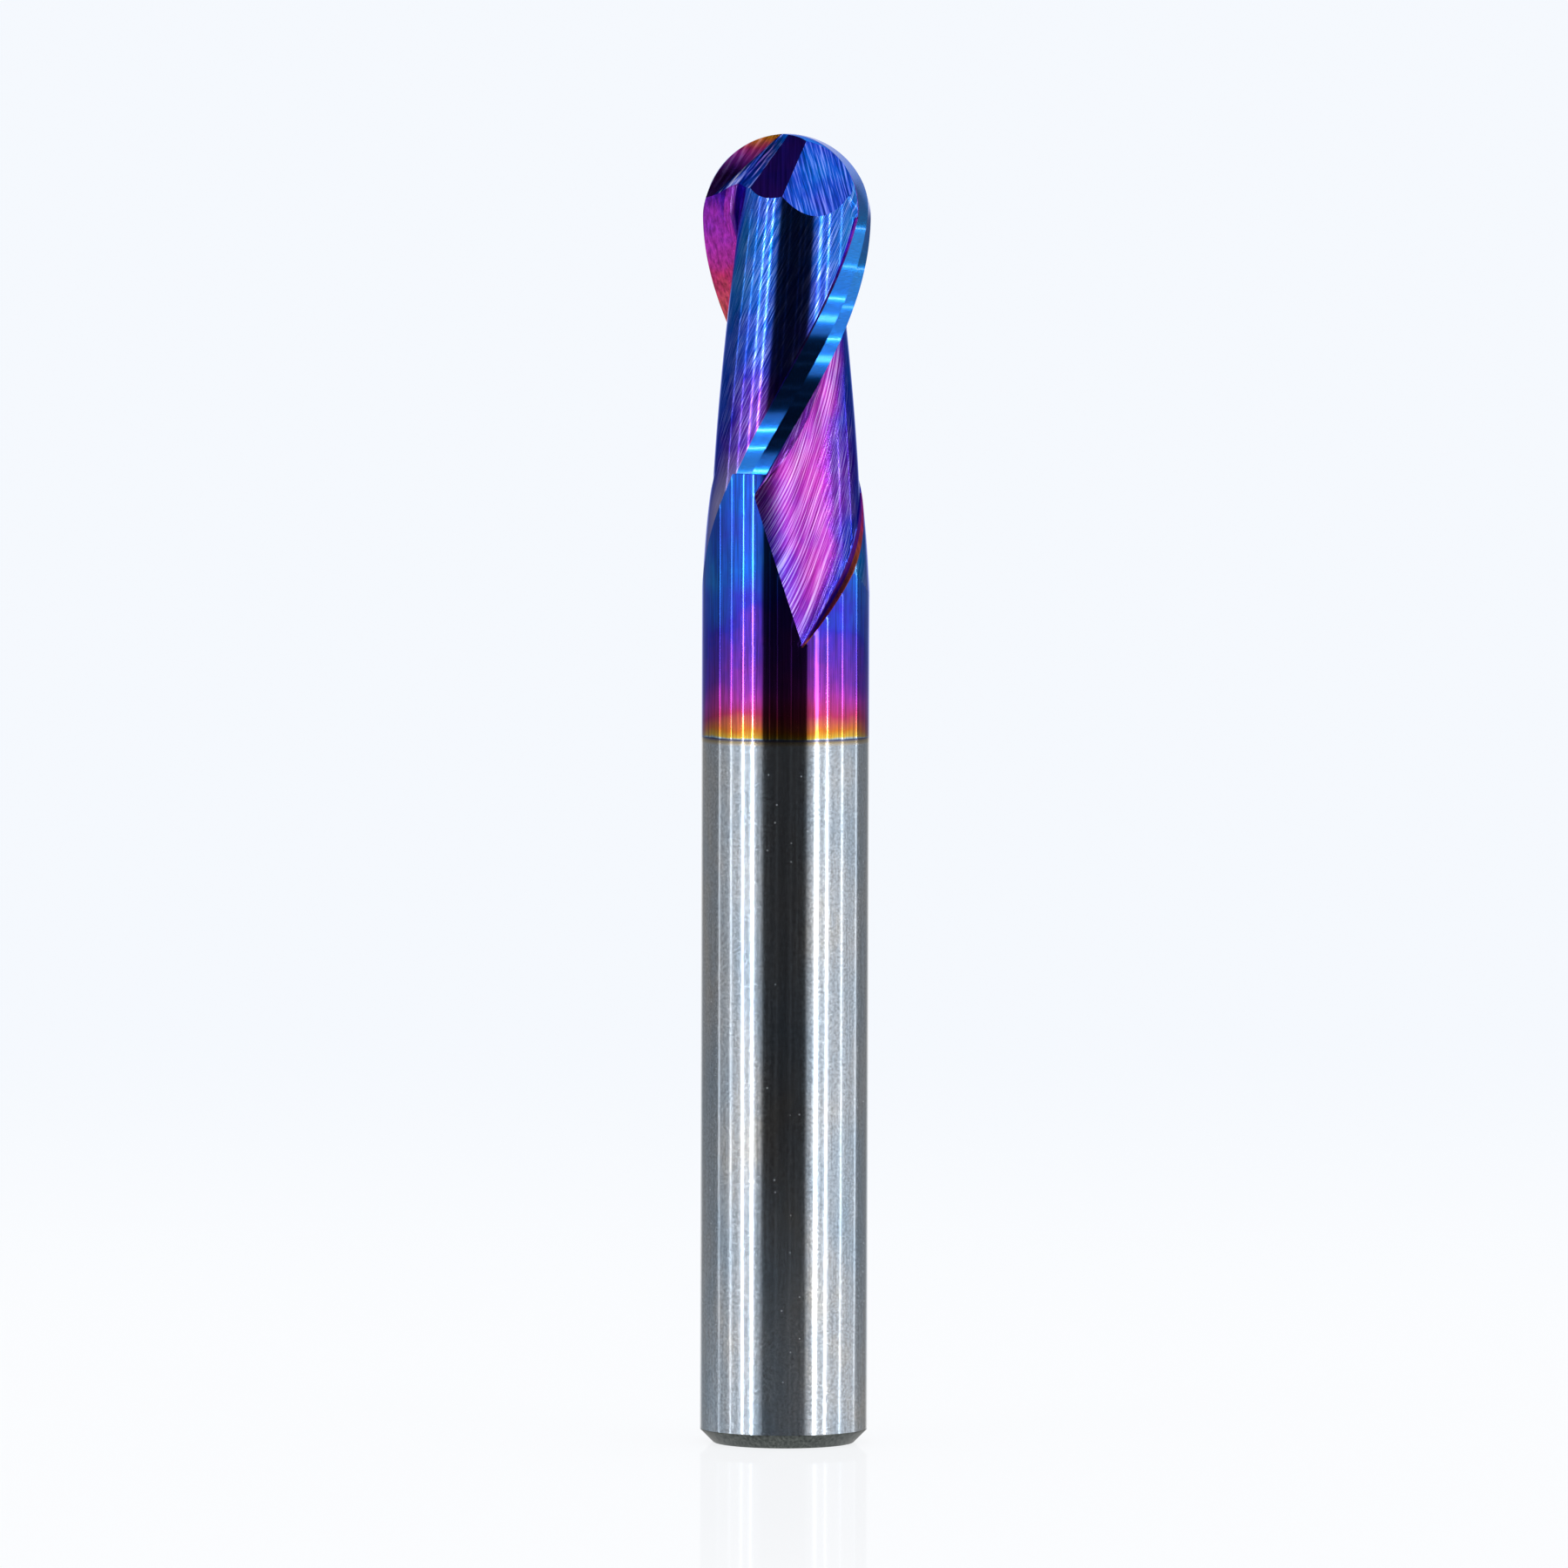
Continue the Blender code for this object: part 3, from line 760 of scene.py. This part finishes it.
def coatedMetal(name):
    # a film colour over ground lines
    look = coats[name]
    metal, tree, shader = newMetal(name, look.get("coat", 0.0), film["edge"])
    place = objectCoords(tree)

    def valueOf(setting):
        return look[setting](tree, place) if callable(look[setting]) else look[setting]
    inFront = "turn" in look
    vector = frontPlane(tree, place, look["turn"], "round" in look) if inFront else ownMap(tree)
    lines = grindLines(tree, vector, look["lines"])
    amount = slanted(tree, valueOf("thickness"), film["slant"])
    # painted light and shade: the shade pair darkens and brightens the film's colour along its grind lines
    dark, bright = look["shade"]
    light = mapped(tree, lines, (film["lineFrom"], dark), (film["lineTo"], bright))
    tone = tint(tree, filmColour(tree, place, amount, look["mottle"]), light)
    if "glint" in look:
        shine = mapped(tree, lines, (film["glintFrom"], 0.0), (film["glintTo"], look["glint"]))
        tone = blendColour(tree, shine, tone, film["glint"])
    feed(tree, shader["Base Color"], tone)
    feed(tree, shader["Roughness"], valueOf("roughness"))
    bumpInto(tree, shader, lines, look["bump"])
    return metal


# the flutes are finely ground and blue behind the heel, coarsely ground and magenta towards the root and
# the run-out; pairs give a depth in millimetres, or a share of the way to the next edge, and its value

flutes = {
    "border": ((11.6, 0.74), (16.0, 0.48)), "borderBlend": ((-0.08, 0.0), (0.06, 1.0)),
    "fineFilm": ((3.0, 0.87), (11.5, 0.66)), "fineRise": ((14.0, 0.0), (17.0, 0.14)),
    "coarseFilm": ((3.0, 0.84), (7.0, 0.585)),
    "rimFrom": 0.86, "rimFilm": 0.13, "rimDepth": ((12.0, 0.0), (14.0, 1.0)), "slant": 0.2, "mottle": 0.24,
    # ground lines; a glint, roughness or bump has a value for the fine and one for the coarse side
    "fineLines": (480.0, 14.0), "coarseLines": (250.0, 5.0), "swing": 3.2, "middle": 0.85, "darkest": 0.2,
    "shine": ((0.50, 0.0), (0.70, 1.0)), "glint": (0.5, 0.6), "roughness": (0.11, 0.30),
    "bump": 0.03 * mm, "bumpShare": (0.02, 0.45),
    # paler where the tooth's back runs out on the rod: painted light, a pale colour standing in for the
    # brighter reflection there
    "pale": (0.60, 0.54, 0.85), "paleDepth": ((11.0, 0.0), (13.5, 0.75)),
    "paleReach": ((0.24, 1.0), (0.34, 0.0)),
}


def fluteFilm():
    metal, tree, shader = newMetal("fluteFilm", edge=film["edge"])
    place = objectCoords(tree)
    uv = ownMap(tree)
    turned = calc(tree, "MULTIPLY", addNode(tree, "SeparateXYZ", {0: uv}).outputs[0], head["teeth"])
    behind = calc(tree, "FRACT", turned)
    depth = depthBelow(tree, place)
    pastBorder = calc(tree, "SUBTRACT", behind, mapped(tree, depth, *flutes["border"]))
    coarse = mapped(tree, pastBorder, *flutes["borderBlend"], smooth=True)

    def byGrind(fine, rough):
        return mapped(tree, coarse, (0.0, fine), (1.0, rough))

    def mixed(fine, rough):
        return calc(tree, "MULTIPLY_ADD", coarse, calc(tree, "SUBTRACT", rough, fine), fine)
    fineFilm = calc(tree, "ADD", mapped(tree, depth, *flutes["fineFilm"]),
                    mapped(tree, depth, *flutes["fineRise"]))
    amount = mixed(fineFilm, mapped(tree, depth, *flutes["coarseFilm"]))
    axes = addNode(tree, "SeparateXYZ", {0: place}).outputs
    squares = [calc(tree, "POWER", axis, 2.0) for axis in axes[:2]]
    radial = calc(tree, "SQRT", calc(tree, "ADD", *squares))
    rimFrom = flutes["rimFrom"] * head["radius"]
    rim = calc(tree, "MULTIPLY", mapped(tree, radial, (rimFrom, 0.0), (head["radius"], flutes["rimFilm"])),
               mapped(tree, depth, *flutes["rimDepth"]))
    amount = slanted(tree, calc(tree, "ADD", amount, rim), flutes["slant"])
    tone = filmColour(tree, place, amount, flutes["mottle"])
    lines = mixed(grindLines(tree, uv, flutes["fineLines"]), grindLines(tree, uv, flutes["coarseLines"]))
    light = calc(tree, "MULTIPLY_ADD", calc(tree, "SUBTRACT", lines, 0.5), flutes["swing"], flutes["middle"])
    tone = tint(tree, tone, calc(tree, "MAXIMUM", light, flutes["darkest"]))
    glint = calc(tree, "MULTIPLY", mapped(tree, lines, *flutes["shine"]), byGrind(*flutes["glint"]))
    tone = blendColour(tree, glint, tone, film["glint"])
    # painted light: the pale colour is blended in where the tooth's back runs out
    pale = calc(tree, "MULTIPLY", mapped(tree, depth, *flutes["paleDepth"]),
                mapped(tree, behind, *flutes["paleReach"]))
    tone = blendColour(tree, pale, tone, flutes["pale"])
    feed(tree, shader["Base Color"], tone)
    feed(tree, shader["Roughness"], byGrind(*flutes["roughness"]))
    bumpInto(tree, shader, calc(tree, "MULTIPLY", lines, byGrind(*flutes["bumpShare"])), flutes["bump"])
    return metal


# studio: a light tent with strips, a pale floor and a white surround

tent = {
    "radius": 1.0, "height": 1.2, "sides": 96, "strength": 24.0,
    # degrees from the camera's side and level
    "left": [(0, 0.018), (11.0, 0.018), (11.4, 0.2), (11.8, 0.018), (21.6, 0.018), (22, 0.2), (22.4, 0.018),
             (30, 0.03), (34, 0.6), (45.3, 0.7), (45.6, 24), (46.2, 24), (46.5, 1.0), (60.2, 1.0), (60.4, 22),
             (60.9, 22), (61.1, 0.85), (80.0, 0.75), (80.2, 10), (80.6, 10), (80.8, 0.6), (102.0, 0.42),
             (102.2, 6), (102.6, 6), (102.9, 0.26), (155, 0.30), (168, 1.0)],
    "right": [(0, 0.018), (7.2, 0.018), (7.6, 0.2), (8.0, 0.018), (15.6, 0.018), (16, 0.2), (16.4, 0.018),
              (29, 0.03), (32, 0.6), (41, 0.75), (41.8, 5), (46.0, 5), (46.6, 0.95), (59.1, 0.95), (59.3, 22),
              (59.9, 22), (60.1, 0.9), (84.9, 0.9), (85.1, 10), (85.6, 10), (85.8, 0.85), (114.8, 0.75),
              (115.0, 7), (115.4, 7), (115.7, 0.3), (155, 0.28), (168, 1.0)],
    # the back is dark only at the tool's own height
    "open": 0.9, "rear": ((0.58, 0.0), (0.64, 1.0)), "high": ((0.18, 0.0), (0.30, 1.0)),
}


def makeTent():
    startPiece()
    bpy.ops.mesh.primitive_cylinder_add(vertices=tent["sides"], radius=tent["radius"], depth=tent["height"],
                                        end_fill_type="NOTHING")
    wall = nameAndPlace("lightTent")
    glow = bpy.data.materials.new("tentGlow")
    glow.use_nodes = True
    tree = glow.node_tree
    tree.nodes.clear()
    axes = addNode(tree, "SeparateXYZ", {0: objectCoords(tree)}).outputs
    turn = calc(tree, "ARCTAN2", axes[0], calc(tree, "MULTIPLY", axes[1], -1.0))
    share = calc(tree, "DIVIDE", calc(tree, "ABSOLUTE", turn), math.pi)

    def grey(level):
        return (level / tent["strength"],) * 3

    def bands(side):
        return colourRamp(tree, share, [(angle / 180, grey(level)) for angle, level in tent[side]])
    level = blendColour(tree, calc(tree, "GREATER_THAN", axes[0], 0.0), bands("left"), bands("right"))
    rear = mapped(tree, share, *tent["rear"])
    high = mapped(tree, calc(tree, "ABSOLUTE", axes[2]), *tent["high"])
    level = blendColour(tree, calc(tree, "MULTIPLY", rear, high), level, grey(tent["open"]))
    light = addNode(tree, "Emission", {"Color": level, "Strength": tent["strength"]})
    addNode(tree, "OutputMaterial", {"Surface": light.outputs[0]})
    wall.data.materials.append(glow)
    wall.visible_camera = False
    wall.visible_shadow = False


studio = {"white": (0.915, 0.945, 0.99), "paper": (0.972, 0.983, 1.0),
          "paperReach": ((0.28, 0.0), (0.0, 1.0)), "floorRadius": 0.3, "floorSides": 128,
          "glow": 0.9, "mirror": 0.06, "mirrorRoughness": 0.04,
          "fade": ((0.02, 0.0), (0.12, 1.0))}


def makeFloor():
    startPiece()
    bpy.ops.mesh.primitive_circle_add(vertices=studio["floorSides"], radius=studio["floorRadius"],
                                      fill_type="NGON")
    floor = nameAndPlace("floorDisc")
    paper = bpy.data.materials.new("paleFloor")
    paper.use_nodes = True
    tree = paper.node_tree
    tree.nodes.clear()
    place = objectCoords(tree)
    # painted light: a little whiter towards the viewer
    towards = addNode(tree, "SeparateXYZ", {0: place}).outputs[1]
    whiter = mapped(tree, towards, *studio["paperReach"], smooth=True)
    colour = blendColour(tree, whiter, studio["white"], studio["paper"])
    matt = addNode(tree, "BsdfDiffuse", {"Color": colour})
    gloss = addNode(tree, "BsdfGlossy", {"Color": (1, 1, 1, 1), "Roughness": studio["mirrorRoughness"]})
    glow = addNode(tree, "Emission", {"Color": colour, "Strength": 1.0})
    lit = addNode(tree, "MixShader", {0: studio["glow"], 1: matt.outputs[0], 2: glow.outputs[0]})
    near = addNode(tree, "MixShader", {0: studio["mirror"], 1: lit.outputs[0], 2: gloss.outputs[0]})
    away = addNode(tree, "VectorMath", {0: place}, operation="LENGTH").outputs["Value"]
    fade = mapped(tree, away, *studio["fade"], smooth=True)
    shown = addNode(tree, "MixShader", {0: fade, 1: near.outputs[0], 2: glow.outputs[0]})
    addNode(tree, "OutputMaterial", {"Surface": shown.outputs[0]})
    floor.data.materials.append(paper)
    floor.visible_glossy = False


def makeSurround():
    world = bpy.data.worlds.new("studioWhite")
    bpy.context.scene.world = world
    world.use_nodes = True
    tree = world.node_tree
    tree.nodes.clear()
    back = addNode(tree, "Background", {"Color": (*studio["white"], 1.0), "Strength": 1.0})
    addNode(tree, "OutputWorld", {"Surface": back.outputs[0]})


makeShank()
makeHead()
makeTent()
makeFloor()
makeSurround()
print("studio set")
